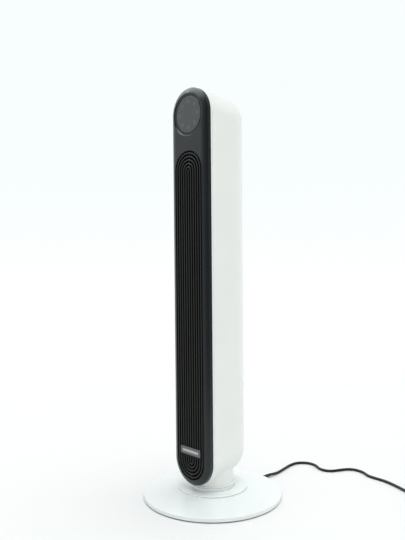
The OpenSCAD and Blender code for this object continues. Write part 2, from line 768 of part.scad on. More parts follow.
// Duct walls beside the wheel, from the rear intake to the front outlet
duct_bottom = bulkhead_z + bulkhead_h;
duct_h = upper_z - duct_bottom;
function scroll_r(a) = wheel_r + 3 + 0.045 * (40 - a);
module duct_scroll() color(dark) translate([0, 0, duct_bottom]) linear_extrude(duct_h) polygon(concat(
    [for (a = [40:-6:-14]) [0, blower_y] + scroll_r(a) * [cos(a), sin(a)]], [[40.8, -28], [40.8, -48]],
    [[42.4, -48], [42.4, -28]],
    [for (a = [-14:6:40]) [0, blower_y] + (scroll_r(a) + 1.6) * [cos(a), sin(a)]]));
module duct_tongue() color(dark) translate([0, 0, duct_bottom]) linear_extrude(duct_h) polygon(concat(
    [for (a = [200:5:225]) [0, blower_y] + (wheel_r + 3) * [cos(a), sin(a)]],
    [[-37, -28], [-40.8, -48], [-42.4, -48], [-41.6, -26], [-44, -6]]));

// ---------- nodes ----------

base_cover();
base_plate();
counterweight();
rubber_feet();
base_screws();
swivel_seat();
seat_lip();
seat_screws();
glide_ring();
swivel_post();
fixed_gear();
post_clip();
cord_strain_relief();
power_cord();
cord_coil();
coil_tie();
plug_relief();
plug_body();
plug_blades();
neck();
neck_collar();
swivel_hub();
rear_housing();
intake_grille();
housing_trim();
front_frame();
front_grille();
badge_plate();
display_lens();
display_ring();
display_holder();
display_board();
touch_springs();
board_tray();
control_board();
board_parts();
housing_screws();
drive_plate();
drive_motor();
motor_housing();
motor_cap();
motor_stator();
motor_windings();
motor_bushes();
motor_dampers();
lower_bulkhead();
upper_bulkhead();
bearing_cushion();
upper_bush();
duct_scroll();
duct_tongue();
drive_pinion();
motor_shaft();
motor_rotor();
wheel_segment(1);  // wheel_segment_1
wheel_segment(2);  // wheel_segment_2
wheel_segment(3);  // wheel_segment_3
wheel_segment(4);  // wheel_segment_4
wheel_segment(5);  // wheel_segment_5
wheel_stub_shaft();
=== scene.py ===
"""The looks of a tower fan on a round foot.

Metres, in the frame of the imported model: +Z is up along the swivel axis, and the front looks towards -Y.
"""

import json
from math import asin, atan2, cos, hypot, pi, radians, sin, sqrt, tan

import bmesh
import bpy
from mathutils import Matrix, Vector
from mathutils.geometry import delaunay_2d_cdt


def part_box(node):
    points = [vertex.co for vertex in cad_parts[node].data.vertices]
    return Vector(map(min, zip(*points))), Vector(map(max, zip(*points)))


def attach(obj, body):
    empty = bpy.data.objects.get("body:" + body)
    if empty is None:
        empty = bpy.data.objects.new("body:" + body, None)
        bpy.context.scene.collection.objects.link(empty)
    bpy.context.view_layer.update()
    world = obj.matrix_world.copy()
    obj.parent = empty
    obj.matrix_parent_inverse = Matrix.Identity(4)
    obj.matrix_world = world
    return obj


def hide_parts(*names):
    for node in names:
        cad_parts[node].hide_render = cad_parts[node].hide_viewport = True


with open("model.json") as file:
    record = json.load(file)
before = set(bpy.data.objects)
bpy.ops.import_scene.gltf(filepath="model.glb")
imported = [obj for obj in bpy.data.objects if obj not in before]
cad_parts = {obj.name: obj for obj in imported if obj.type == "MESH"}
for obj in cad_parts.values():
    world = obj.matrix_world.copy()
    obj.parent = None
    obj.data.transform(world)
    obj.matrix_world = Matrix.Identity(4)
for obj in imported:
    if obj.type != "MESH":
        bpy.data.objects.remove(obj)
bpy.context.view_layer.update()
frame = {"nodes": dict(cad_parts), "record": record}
MM = 0.001

# ---------- sizes from the frame ----------

foot_low, foot_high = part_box("base_cover")
seat_low, seat_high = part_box("swivel_seat")
lip_low, lip_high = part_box("seat_lip")
collar_low, collar_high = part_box("neck_collar")
neck_low, neck_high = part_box("neck")
trim_low, trim_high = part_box("housing_trim")
shell_low, shell_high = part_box("rear_housing")
intake_low, intake_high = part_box("intake_grille")
panel_low, panel_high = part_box("front_frame")
grille_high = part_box("front_grille")[1]
lens_low, lens_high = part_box("display_lens")
ring_low, ring_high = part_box("display_ring")
badge_low, badge_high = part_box("badge_plate")
relief_low, relief_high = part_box("cord_strain_relief")
coil_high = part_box("cord_coil")[1]

FOOT_R = foot_high.x
SEAT_R = seat_high.x
NECK_R = neck_high.x
HALF_W = trim_high.x
BACK_CENTRE = shell_high.y - HALF_W
PANEL_R = panel_high.x
TOP_CENTRE = panel_high.z - PANEL_R
BOTTOM_CENTRE = panel_low.z + PANEL_R
FACE_Y = panel_low.y
GRILLE_R = grille_high.x
GRILLE_TOP = grille_high.z - GRILLE_R
LENS_R = lens_high.x
RING_R = ring_high.x
DISPLAY_Z = (lens_low.z + lens_high.z) / 2
DISH_DEPTH = ring_low.y - FACE_Y

# ---------- sizes that no box shows ----------

WALL = 2.5 * MM
RIM_TOP = 10.5 * MM
RIM_ROUND = 1.5 * MM
SPIGOT_R = 70 * MM
# How far the housing's upper edge falls and its lower edge rises towards the back
BACK_DROP = 7 * MM
BACK_RISE = 12 * MM
# The panel's face: flat, then rounded shoulders, then a chamfer down to its wall
FLAT_HALF = 38 * MM
SHOULDER_DROP = 5 * MM
EDGE_IN = 1.2 * MM
EDGE_DROP = 2.4 * MM
SLOT_PITCH = 7.2 * MM
SLAT_W = 3 * MM
DISH_R = LENS_R + 7 * MM
DISH_WALL = 2 * MM
KEY_COUNT = 8
KEY_RING_R = 27 * MM
KEY_R = 6 * MM

# ---------- shapes: lists of points and faces, joined into pieces ----------


def arc(centre, radius, start, end, steps):
    """Points on an arc, angles in degrees."""
    turns = [radians(start + (end - start) * i / steps) for i in range(steps + 1)]
    return [(centre[0] + radius * cos(a), centre[1] + radius * sin(a)) for a in turns]


def full_turn(steps):
    return [2 * pi * i / steps for i in range(steps)]


def rectangle(left, low, right, high):
    return [(left, low), (right, low), (right, high), (left, high)]


def rounded(outline, radius, steps=3):
    """A closed outline with every corner turned into an arc."""
    made = []
    count = len(outline)
    for i in range(count):
        corner = Vector(outline[i])
        before = Vector(outline[i - 1]) - corner
        after = Vector(outline[(i + 1) % count]) - corner
        opening = before.angle(after)
        if opening > radians(170):
            made.append(tuple(corner))
            continue
        cut = min(radius / tan(opening / 2), 0.45 * before.length, 0.45 * after.length)
        inner = cut * tan(opening / 2)
        before.normalize()
        after.normalize()
        middle = corner + (before + after).normalized() * inner / sin(opening / 2)
        first = corner + before * cut - middle
        last = corner + after * cut - middle
        swing = first.angle(last)
        for k in range(steps + 1):
            t = k / steps
            share_a = sin((1 - t) * swing) / sin(swing)
            share_b = sin(t * swing) / sin(swing)
            made.append(tuple(middle + first * share_a + last * share_b))
    return made


def swept(outline, stations, place, closed=True, loop=True):
    """An outline carried from station to station, as points and faces.

    place turns a point of the outline and a station into a position.
    """
    count = len(outline)
    points = [place(p, s) for s in stations for p in outline]
    faces = []
    for i in range(len(stations) if loop else len(stations) - 1):
        here = i * count
        there = (i + 1) % len(stations) * count
        for k in range(count if closed else count - 1):
            n = (k + 1) % count
            faces.append((here + k, here + n, there + n, there + k))
    if not loop:
        faces.append(tuple(range(count)))
        faces.append(tuple(range(len(points) - count, len(points))))
    return points, faces


def turned(outline, steps=192, closed=True):
    """An outline of (radius, height) turned round the Z axis."""
    return swept(outline, full_turn(steps), lambda p, a: (p[0] * cos(a), p[0] * sin(a), p[1]), closed)


def turned_along_y(outline, height, steps=128, closed=True):
    """An outline of (radius, depth) turned round an axis along Y at the given height."""

    def place(p, a):
        return (p[0] * cos(a), p[1], height + p[0] * sin(a))

    return swept(outline, full_turn(steps), place, closed)


def stadium_stations(low, high, steps=48):
    """Angle and centre height of each station round a stadium: the lower half circle, then the upper."""
    lower = [(pi + pi * i / steps, low) for i in range(steps + 1)]
    upper = [(pi * i / steps, high) for i in range(steps + 1)]
    return lower + upper


def on_stadium(point, station):
    """Position of a (distance, depth) point at a station of a stadium in the XZ plane."""
    angle, centre = station
    return (point[0] * cos(angle), point[1], centre + point[0] * sin(angle))


def block(low, high, rounding, axis=2):
    """A bar with rounded long edges along an axis and flat ends."""
    a, b = [i for i in range(3) if i != axis]
    outline = rounded(rectangle(low[a], low[b], high[a], high[b]), rounding)

    def place(p, s):
        spot = [0, 0, 0]
        spot[a], spot[b], spot[axis] = p[0], p[1], s
        return tuple(spot)

    return swept(outline, [low[axis], high[axis]], place, loop=False)


def thickened(outer, inner, faces):
    """Closes two sheets of the same faces into a wall, with rims along the open edges."""
    count = len(outer)
    made = list(faces) + [tuple(v + count for v in reversed(f)) for f in faces]
    uses = {}
    for f in faces:
        for i, v in enumerate(f):
            n = f[(i + 1) % len(f)]
            uses.setdefault((min(v, n), max(v, n)), []).append((v, n))
    for ways in uses.values():
        if len(ways) == 1:
            v, n = ways[0]
            made.append((n, v, v + count, n + count))
    return list(outer) + list(inner), made


def piece(name, *shapes):
    """One mesh object from several shapes, smooth shaded, with its faces turned outwards."""
    work = bmesh.new()
    for points, faces in shapes:
        spots = [work.verts.new(p) for p in points]
        for f in faces:
            corners = [spots[i] for i in f]
            if len(set(corners)) > 2:
                work.faces.new(corners)
    bmesh.ops.remove_doubles(work, verts=work.verts, dist=1e-6)
    bmesh.ops.dissolve_degenerate(work, edges=work.edges, dist=1e-6)
    bmesh.ops.recalc_face_normals(work, faces=work.faces)
    for f in work.faces:
        f.smooth = True
    mesh = bpy.data.meshes.new(name)
    work.to_mesh(mesh)
    work.free()
    made = bpy.data.objects.new(name, mesh)
    bpy.context.collection.objects.link(made)
    return made


def edged(made, width, segments=3, corner=30):
    """Rounds the sharp edges of a piece."""
    bevel = made.modifiers.new("rounded edges", "BEVEL")
    bevel.width = width
    bevel.segments = segments
    bevel.limit_method = "ANGLE"
    bevel.angle_limit = radians(corner)
    bevel.miter_outer = "MITER_ARC"
    return made


def evenly_shaded(made):
    """Lets the large faces of a piece lead its shading."""
    shade = made.modifiers.new("even shading", "WEIGHTED_NORMAL")
    shade.keep_sharp = True
    return made


# ---------- materials ----------


def node_kit(name):
    material = bpy.data.materials.new(name)
    material.use_nodes = True
    nodes = material.node_tree.nodes
    return material, nodes, material.node_tree.links, nodes["Principled BSDF"]


def noise(nodes, links, vector, scale, detail=3.0):
    made = nodes.new("ShaderNodeTexNoise")
    made.inputs["Scale"].default_value = scale
    made.inputs["Detail"].default_value = detail
    links.new(vector, made.inputs["Vector"])
    return made.outputs["Fac"]


def spread(nodes, links, value, low, high, start=0.3, end=0.7):
    made = nodes.new("ShaderNodeMapRange")
    made.inputs["From Min"].default_value = start
    made.inputs["From Max"].default_value = end
    made.inputs["To Min"].default_value = low
    made.inputs["To Max"].default_value = high
    links.new(value, made.inputs["Value"])
    return made.outputs["Result"]


def blended(nodes, links, factor, first, second):
    """One colour turning into another; each is a plain colour or another node's output."""
    made = nodes.new("ShaderNodeMix")
    made.data_type = "RGBA"
    links.new(factor, made.inputs["Factor"])
    for side, colour in (("A", first), ("B", second)):
        if isinstance(colour, tuple):
            made.inputs[side].default_value = (*colour, 1)
        else:
            links.new(colour, made.inputs[side])
    return made.outputs["Result"]


def raised(nodes, links, shader, height, depth, strength):
    """A relief of a depth in millimetres."""
    relief = nodes.new("ShaderNodeBump")
    relief.inputs["Strength"].default_value = strength
    relief.inputs["Distance"].default_value = depth * MM
    links.new(height, relief.inputs["Height"])
    links.new(relief.outputs["Normal"], shader.inputs["Normal"])


def coordinates(nodes, links, stretch=(1, 1, 1)):
    place = nodes.new("ShaderNodeTexCoord")
    scaled = nodes.new("ShaderNodeMapping")
    scaled.inputs["Scale"].default_value = stretch
    links.new(place.outputs["Object"], scaled.inputs["Vector"])
    return scaled.outputs["Vector"]


def surface(name, base, tint, roughness, play=0.06, patch=25, grain=1400, depth=0.004,
            metallic=0.0, coat=0.0, specular=0.5, mirror_tint=(1, 1, 1), stretch=(1, 1, 1)):
    """A surface whose colour drifts from base to tint in patches, with a fine grain in gloss and relief.

    patch and grain are noise scales, and depth is the grain's relief in millimetres.
    """
    material, nodes, links, shader = node_kit(name)
    vector = coordinates(nodes, links, stretch)
    patches = spread(nodes, links, noise(nodes, links, vector, patch), 0, 1)
    links.new(blended(nodes, links, patches, base, tint), shader.inputs["Base Color"])
    fine = noise(nodes, links, vector, grain, 2.0)
    gloss = spread(nodes, links, fine, roughness - play, roughness + play)
    links.new(gloss, shader.inputs["Roughness"])
    raised(nodes, links, shader, fine, depth, 0.3)
    shader.inputs["Metallic"].default_value = metallic
    shader.inputs["Coat Weight"].default_value = coat
    shader.inputs["Coat Roughness"].default_value = 0.12
    shader.inputs["Specular IOR Level"].default_value = specular
    shader.inputs["Specular Tint"].default_value = (*mirror_tint, 1)
    return material


# The wave texture multiplies its coordinate by this besides the scale that it's given
WAVE_FACTOR = 20


def banded(name, base, tint, roughness, pitch, depth, play=0.08):
    """Thin metal layers or turns across the Z axis, such as a stack of laminations or a winding.

    pitch is the height of one light or dark band and depth its relief, both in millimetres.
    """
    material, nodes, links, shader = node_kit(name)
    vector = coordinates(nodes, links)
    wave = nodes.new("ShaderNodeTexWave")
    wave.wave_type = "BANDS"
    wave.bands_direction = "Z"
    wave.inputs["Scale"].default_value = pi / (pitch * MM) / WAVE_FACTOR
    wave.inputs["Distortion"].default_value = 0.4
    links.new(vector, wave.inputs["Vector"])
    bands = wave.outputs["Fac"]
    links.new(blended(nodes, links, bands, base, tint), shader.inputs["Base Color"])
    uneven = noise(nodes, links, vector, 300)
    gloss = spread(nodes, links, uneven, roughness - play, roughness + play)
    links.new(gloss, shader.inputs["Roughness"])
    raised(nodes, links, shader, bands, depth, 0.5)
    shader.inputs["Metallic"].default_value = 1.0
    return material


def board_surface(name):
    """A green board with paler tracks under its lacquer, drawn in the XZ plane."""
    material, nodes, links, shader = node_kit(name)
    vector = coordinates(nodes, links)
    tracks = nodes.new("ShaderNodeTexBrick")
    tracks.inputs["Color1"].default_value = (0.010, 0.085, 0.035, 1)
    tracks.inputs["Color2"].default_value = (0.014, 0.100, 0.042, 1)
    tracks.inputs["Mortar"].default_value = (0.045, 0.19, 0.07, 1)
    tracks.inputs["Scale"].default_value = 160
    tracks.inputs["Mortar Size"].default_value = 0.04
    turned_vector = nodes.new("ShaderNodeVectorRotate")
    turned_vector.inputs["Axis"].default_value = (1, 0, 0)
    turned_vector.inputs["Angle"].default_value = pi / 2
    links.new(vector, turned_vector.inputs["Vector"])
    links.new(turned_vector.outputs["Vector"], tracks.inputs["Vector"])
    links.new(tracks.outputs["Color"], shader.inputs["Base Color"])
    gloss = spread(nodes, links, noise(nodes, links, vector, 500), 0.25, 0.4)
    links.new(gloss, shader.inputs["Roughness"])
    raised(nodes, links, shader, tracks.outputs["Fac"], 0.03, 1.0)
    return material


def display_surface(name):
    """Dark smoked glass with eight soft key marks in a ring."""
    material = surface(name, (0.029, 0.034, 0.038), (0.034, 0.039, 0.043), 0.12,
                       play=0.02, patch=30, depth=0.001, coat=0.3)
    nodes, links = material.node_tree.nodes, material.node_tree.links

    def worked_out(operation, first, second=0.0):
        made = nodes.new("ShaderNodeMath")
        made.operation = operation
        for socket, value in zip(made.inputs, (first, second)):
            if isinstance(value, float):
                socket.default_value = value
            else:
                links.new(value, socket)
        return made.outputs["Value"]

    place = nodes.new("ShaderNodeTexCoord")
    split = nodes.new("ShaderNodeSeparateXYZ")
    links.new(place.outputs["Object"], split.inputs["Vector"])
    across = split.outputs["X"]
    up = worked_out("SUBTRACT", split.outputs["Z"], DISPLAY_Z)
    squares = [worked_out("MULTIPLY", value, value) for value in (across, up)]
    away = worked_out("SQRT", worked_out("ADD", *squares))
    off_ring = worked_out("ABSOLUTE", worked_out("SUBTRACT", away, KEY_RING_R))
    in_ring = spread(nodes, links, off_ring, 1, 0, 0.0, KEY_R)
    turn = worked_out("MULTIPLY", worked_out("ARCTAN2", up, across), float(KEY_COUNT))
    at_key = spread(nodes, links, worked_out("COSINE", turn), 0, 1, -0.2, 0.9)
    shader = nodes["Principled BSDF"]
    glass = shader.inputs["Base Color"].links[0].from_socket
    marks = worked_out("MULTIPLY", in_ring, at_key)
    links.new(blended(nodes, links, marks, glass, (0.066, 0.073, 0.078)), shader.inputs["Base Color"])
    return material


# What surface and banded take for each finish
SURFACES = {
    "white_shell": dict(base=(0.80, 0.82, 0.80), tint=(0.78, 0.80, 0.785), roughness=0.36, patch=14),
    "foot_white": dict(base=(0.785, 0.825, 0.825), tint=(0.77, 0.81, 0.81), roughness=0.24,
                       patch=12, depth=0.003),
    "black_panel": dict(base=(0.0090, 0.0102, 0.0114), tint=(0.0112, 0.0124, 0.0136), roughness=0.25,
                        patch=18, specular=0.44, mirror_tint=(0.86, 0.95, 1.0)),
    "black_grille": dict(base=(0.0080, 0.0085, 0.0090), tint=(0.0100, 0.0105, 0.0110), roughness=0.34,
                         patch=30, specular=0.28),
    "dark_plastic": dict(base=(0.012, 0.012, 0.013), tint=(0.018, 0.018, 0.019), roughness=0.5, patch=40),
    "natural_plastic": dict(base=(0.62, 0.61, 0.55), tint=(0.57, 0.56, 0.50), roughness=0.42, patch=60),
    "black_rubber": dict(base=(0.014, 0.014, 0.014), tint=(0.024, 0.023, 0.022), roughness=0.62,
                         patch=90, grain=2500, depth=0.02, specular=0.35),
    "cord_jacket": dict(base=(0.010, 0.010, 0.011), tint=(0.013, 0.013, 0.014), roughness=0.46,
                        patch=120, grain=1800, depth=0.02, specular=0.3),
    "plate_steel": dict(base=(0.48, 0.49, 0.50), tint=(0.40, 0.41, 0.42), roughness=0.34,
                        patch=60, grain=900, depth=0.006, metallic=1.0, stretch=(1, 1, 9)),
    "brass_part": dict(base=(0.62, 0.46, 0.18), tint=(0.52, 0.38, 0.14), roughness=0.3,
                       patch=120, metallic=1.0),
    "badge_metal": dict(base=(0.16, 0.165, 0.17), tint=(0.12, 0.125, 0.13), roughness=0.34,
                        patch=60, grain=700, depth=0.01, metallic=1.0, stretch=(1, 1, 12)),
    "wheel_plastic": dict(base=(0.022, 0.023, 0.025), tint=(0.032, 0.033, 0.035), roughness=0.5, patch=60),
}
BANDED = {
    "laminated_steel": dict(base=(0.20, 0.20, 0.21), tint=(0.10, 0.10, 0.11), roughness=0.5,
                            pitch=0.8, depth=0.1),
    "copper_wire": dict(base=(0.62, 0.24, 0.10), tint=(0.34, 0.11, 0.04), roughness=0.32,
                        pitch=0.7, depth=0.15),
}
MATERIALS = {name: surface(name, **finish) for name, finish in SURFACES.items()}
MATERIALS.update((name, banded(name, **finish)) for name, finish in BANDED.items())
MATERIALS["display_glass"] = display_surface("display_glass")
MATERIALS["circuit_board"] = board_surface("circuit_board")


def dressed(made, slot, body, *stands_for):
    """Gives a piece its finish and its body, and hides the CAD nodes that it stands for."""
    made.data.materials.append(MATERIALS[slot])
    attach(made, body)
    if stands_for:
        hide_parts(*stands_for)
    return made


def dress_cad_nodes():
    for row in frame["record"]["subparts"]:
        node = frame["nodes"][row["node"]]
        for place in node.material_slots:
            place.material = MATERIALS[row["material_slot"]]


# ---------- camera ----------

CAMERA_DISTANCE = 1.4157
CAMERA_HEIGHT = 0.5441
CAMERA_AZIMUTH = radians(46.395)
CAMERA_HEADING = radians(47.135)
CAMERA_PITCH = radians(1.957)
CAMERA_ROLL = radians(-0.475)
CAMERA_LENS = 43.4


def make_camera():
    forward = Vector((-sin(CAMERA_HEADING) * cos(CAMERA_PITCH), cos(CAMERA_HEADING) * cos(CAMERA_PITCH),
                      -sin(CAMERA_PITCH)))
    right = Vector((cos(CAMERA_HEADING), sin(CAMERA_HEADING), 0))
    up = right.cross(forward)
    across = right * cos(CAMERA_ROLL) + up * sin(CAMERA_ROLL)
    upright = up * cos(CAMERA_ROLL) - right * sin(CAMERA_ROLL)
    matrix = Matrix((across, upright, -forward)).transposed().to_4x4()
    matrix.translation = (CAMERA_DISTANCE * sin(CAMERA_AZIMUTH), -CAMERA_DISTANCE * cos(CAMERA_AZIMUTH),
                          CAMERA_HEIGHT)
    data = bpy.data.cameras.new("camera")
    data.lens = CAMERA_LENS
    camera = bpy.data.objects.new("camera", data)
    camera.matrix_world = matrix
    bpy.context.collection.objects.link(camera)
    bpy.context.scene.camera = camera


# ---------- mains cord ----------

CORD_D = 6 * MM
CORD_R = CORD_D / 2
EXIT = Vector(((relief_low.x + relief_high.x) / 2, FOOT_R, 5.8 * MM))
# The cord's middle from the relief to the coil, in millimetres
ROUTE = [(14, 176, 5.8), (13.6, 190, 4.4), (12, 205, 3.2), (9, 221, 3), (4.5, 241, 3), (0, 262, 3),
         (-1, 287, 3), (8, 304, 3), (25, 313, 3), (43, 311, 3), (66, 299, 3), (83, 299, 3),
         (96, 308, 3), (105, 326, 3), (116, 345, 3), (132, 354, 3), (153, 352, 3), (176, 341, 3),
         (198, 339, 3), (220, 338, 3), (242, 333, 3), (263, 326, 3), (283, 318, 3), (298, 313, 3),
         (312, 308.8, 3)]
COIL_X = 327 * MM
COIL_Y = 348 * MM
COIL_MID_R = 36 * MM
# Three turns of cord lie side by side
COIL_OUT_R = COIL_MID_R + 1.5 * CORD_D
COIL_IN_R = COIL_MID_R - 1.5 * CORD_D
# Direction in which the cord meets the coil, and how far it winds, in degrees
COIL_ENTRY = 249
COIL_TURN = 5 * 360 + 141
COIL_STEP = 20
TAIL_ANGLE = radians(30)
TAIL_R = COIL_MID_R + CORD_D
# Where the plug's relief and the plug begin along the straight tail
RELIEF_START = 16 * MM
PLUG_START = 40 * MM
# Where the cord steps in, climbs and steps out, in degrees of turn
STEPS_IN = [(300, 360), (660, 720)]
CLIMB = (940, 1020)
STEPS_OUT = [(1305, 1355), (1665, 1715)]


def eased(value, start, end):
    """0 before the start, 1 after the end, and a smooth rise between them."""
    t = min(max((value - start) / (end - start), 0), 1)
    return t * t * (3 - 2 * t)


def coil_point(turn):
    """The cord's middle after so many degrees of coil: inwards on the floor, then outwards on top."""
    inward = sum(eased(turn, *s) for s in STEPS_IN)
    outward = sum(eased(turn, *s) for s in STEPS_OUT)
    radius = COIL_MID_R + CORD_D * (1 - inward + outward)
    angle = radians(COIL_ENTRY + turn)
    height = CORD_R + CORD_D * eased(turn, *CLIMB)
    return Vector((COIL_X + radius * cos(angle), COIL_Y + radius * sin(angle), height))


TAIL = Vector((COIL_X + TAIL_R * cos(TAIL_ANGLE), COIL_Y + TAIL_R * sin(TAIL_ANGLE), CORD_R + CORD_D))
TAIL_AHEAD = Vector((-sin(TAIL_ANGLE), cos(TAIL_ANGLE), 0))
TAIL_SIDE = Vector((cos(TAIL_ANGLE), sin(TAIL_ANGLE), 0))


def on_tail(side, along, height):
    """Position beside, along and above the cord's straight tail."""
    return tuple(TAIL + TAIL_SIDE * side + TAIL_AHEAD * along + Vector((0, 0, height)))


def cord_line():
    """Points along the cord's middle: inside the relief, along the floor, round the coil, into the plug."""
    straight = [EXIT + Vector((0, y * MM, 0)) for y in (4, 14)]
    laid = [Vector(p) * MM for p in ROUTE]
    coiled = [coil_point(turn) for turn in range(COIL_STEP, COIL_TURN, COIL_STEP)]
    ending = [TAIL + TAIL_AHEAD * along for along in (0, RELIEF_START, RELIEF_START + 14 * MM)]
    return straight + laid + coiled + ending


def make_cord():
    line = cord_line()
    data = bpy.data.curves.new("mains_cord", "CURVE")
    data.dimensions = "3D"
    data.bevel_depth = CORD_R
    data.bevel_resolution = 5
    data.resolution_u = 6
    data.use_fill_caps = True
    spline = data.splines.new("BEZIER")
    spline.bezier_points.add(len(line) - 1)
    for i, spot in enumerate(line):
        pull = (line[min(i + 1, len(line) - 1)] - line[max(i - 1, 0)]) / 6
        knot = spline.bezier_points[i]
        knot.co = spot
        knot.handle_left_type = knot.handle_right_type = "FREE"
        knot.handle_left = spot - pull
        knot.handle_right = spot + pull
    cord = bpy.data.objects.new("mains_cord", data)
    bpy.context.collection.objects.link(cord)
    return dressed(cord, "cord_jacket", "base", "power_cord", "cord_coil")


def ribbed(length, start_r, end_r, count, groove):
    """(Radius, distance) outline of a tapered relief with grooves round it."""
    outline = [(0, 0), (start_r, 0)]
    # each groove slopes down, runs level and slopes up again in these parts of its length
    groove_shape = ((0.15, 0), (0.3, groove), (0.7, groove), (0.85, 0))
    for i in range(count):
        for part, cut in groove_shape:
            t = (i + part) / count
            outline.append((start_r + (end_r - start_r) * t - cut, length * t))
    return outline + [(end_r, length), (0, length)]


ROUND_RELIEF = full_turn(32)


def make_exit_relief():
    """The relief from inside the foot to its grooved end behind the foot."""
    radius = (relief_high.x - relief_low.x) / 2
    outline = ribbed(relief_high.y - FOOT_R, radius, end_r=3.4 * MM, count=6, groove=0.35 * MM)
    rear = [(0, relief_low.y), (radius, relief_low.y)] + [(r, FOOT_R + d) for r, d in outline[1:]]

    def place(p, a):
        return (EXIT.x + p[0] * cos(a), p[1], EXIT.z + p[0] * sin(a))

    shape = swept(rear, ROUND_RELIEF, place, closed=False)
    relief = edged(piece("cord_exit_relief", shape), 0.15 * MM, 2)
    return dressed(relief, "black_rubber", "base", "cord_strain_relief")


def make_plug_relief():
    length = PLUG_START - RELIEF_START
    outline = ribbed(length, 3.5 * MM, end_r=5.4 * MM, count=5, groove=0.5 * MM)

    def place(p, a):
        return on_tail(p[0] * cos(a), RELIEF_START + p[1], p[0] * sin(a))

    shape = swept(outline, ROUND_RELIEF, place, closed=False)
    relief = edged(piece("cord_plug_relief", shape), 0.2 * MM, 2)
    return dressed(relief, "black_rubber", "base", "plug_relief")


# Distance along the plug, half width and half height in millimetres, and the squareness of the section
PLUG_SECTIONS = [(0, 6.6, 6.6, 2.0), (3, 7.0, 6.8, 2.3), (6, 8.6, 6.9, 3.4), (10, 9.0, 7.0, 4.0),
                 (18, 8.5, 6.7, 4.0), (23, 9.2, 7.2, 3.6), (24.5, 11.7, 8.7, 3.4),
                 (26, 12.0, 9.0, 3.4), (31, 12.0, 9.0, 3.4), (32, 11.4, 8.4, 3.4)]


def make_plug():
    """A moulded two-blade plug: a loft of rounded rectangles with a collar round its face."""

    def place(angle, station):
        along, wide, high, power = station
        c, s = cos(angle), sin(angle)
        side = wide * MM * abs(c) ** (2 / power) * (1 if c > 0 else -1)
        up = high * MM * abs(s) ** (2 / power) * (1 if s > 0 else -1)
        return on_tail(side, PLUG_START + along * MM, up)

    # half a step round, so that no point falls on an axis
    angles = [2 * pi * (i + 0.5) / 48 for i in range(48)]
    body = piece("cord_plug", swept(angles, PLUG_SECTIONS, place, loop=False))
    return dressed(edged(body, 0.5 * MM, 2, 50), "black_rubber", "base", "plug_body")


# The plug's blades, in millimetres
BLADE_SPACING = 12.7
BLADE_BACK = 22
BLADE_TIP = 49
BLADE_H = 6.4
BLADE_W = 1.5


def make_blades():
    """Two flat brass blades with rounded tips."""
    up = BLADE_H / 2
    outline = rounded(rectangle(BLADE_BACK, -up, BLADE_TIP, up), 1.6, 5)

    def place(p, s):
        return on_tail(s * MM, PLUG_START + p[0] * MM, p[1] * MM)

    shapes = []
    for side in (-BLADE_SPACING / 2, BLADE_SPACING / 2):
        flanks = [side - BLADE_W / 2, side + BLADE_W / 2]
        shapes.append(swept(outline, flanks, place, loop=False))
    blades = edged(piece("cord_plug_blades", *shapes), 0.25 * MM, 2)
    return dressed(blades, "brass_part", "base", "plug_blades")


def make_coil_tie():
    """A clip bent over the coil, open on the floor side."""
    tie_angle = radians(120)
    outward = Vector((cos(tie_angle), sin(tie_angle), 0))
    along = Vector((-sin(tie_angle), cos(tie_angle), 0))
    inner, outer, top = COIL_IN_R, COIL_OUT_R, coil_high.z
    foot = 0.2 * MM
    thick = 1.1 * MM
    half_width = 4 * MM
    path = [(inner, foot), (inner, top), (outer, top), (outer, foot), (outer + thick, foot),
            (outer + thick, top + thick), (inner - thick, top + thick), (inner - thick, foot)]

    def place(p, s):
        spot = Vector((COIL_X, COIL_Y, 0)) + outward * p[0] + along * s + Vector((0, 0, p[1]))
        return tuple(spot)

    shape = swept(rounded(path, 0.5 * MM), [-half_width, half_width], place, loop=False)
    return dressed(edged(piece("cord_tie", shape), 0.3 * MM, 2), "dark_plastic", "base", "coil_tie")


def make_cord_set():
    cord = make_cord()
    others = [make_exit_relief(), make_plug_relief(), make_plug(), make_blades(), make_coil_tie()]


# ---------- foot ----------


def make_foot():
    """A dished cover: a skirt, a rounded rim, a low dome and a level middle with a round hole."""
    skirt_r = FOOT_R - 2.7 * MM
    crown = 0.5 * MM
    bottom, top = foot_low.z, foot_high.z
    rim = arc((FOOT_R - RIM_ROUND, RIM_TOP - RIM_ROUND), RIM_ROUND, 0, 81, 8)
    start_r, start_z = rim[-1]
    end_r = SEAT_R + 1 * MM
    steps = 10
    dome = []
    for i in range(1, steps):
        t = i / steps
        height = start_z + (top - start_z) * t + crown * sin(pi * t)
        dome.append((start_r + (end_r - start_r) * t, height))
    skirt = [(skirt_r, bottom), (FOOT_R - 1 * MM, bottom), (FOOT_R - 0.3 * MM, bottom + 0.3 * MM),
             (FOOT_R, bottom + 1 * MM)]
    under = [(SPIGOT_R, top - WALL), (end_r, top - WALL), (skirt_r, RIM_TOP - WALL + 0.4 * MM)]
    outline = skirt + rim + dome + [(end_r, top), (SPIGOT_R, top)] + under
    foot = piece("foot_cover", turned(outline, 256))
    dressed(evenly_shaded(foot), "foot_white", "base", "base_cover")


def make_seat():
    """A disc with a spigot that fills the foot's hole, and a hole in its own middle."""
    hole = 14 * MM
    edge = 0.9 * MM
    outline = [(hole, seat_low.z), (SPIGOT_R, seat_low.z), (SPIGOT_R, foot_high.z), (SEAT_R, foot_high.z)]
    outline += arc((SEAT_R - edge, seat_high.z - edge), edge, 0, 90, 5)
    outline += [(hole, seat_high.z)]
    seat = piece("foot_seat", turned(outline, 224))
    dressed(evenly_shaded(seat), "foot_white", "base", "swivel_seat")


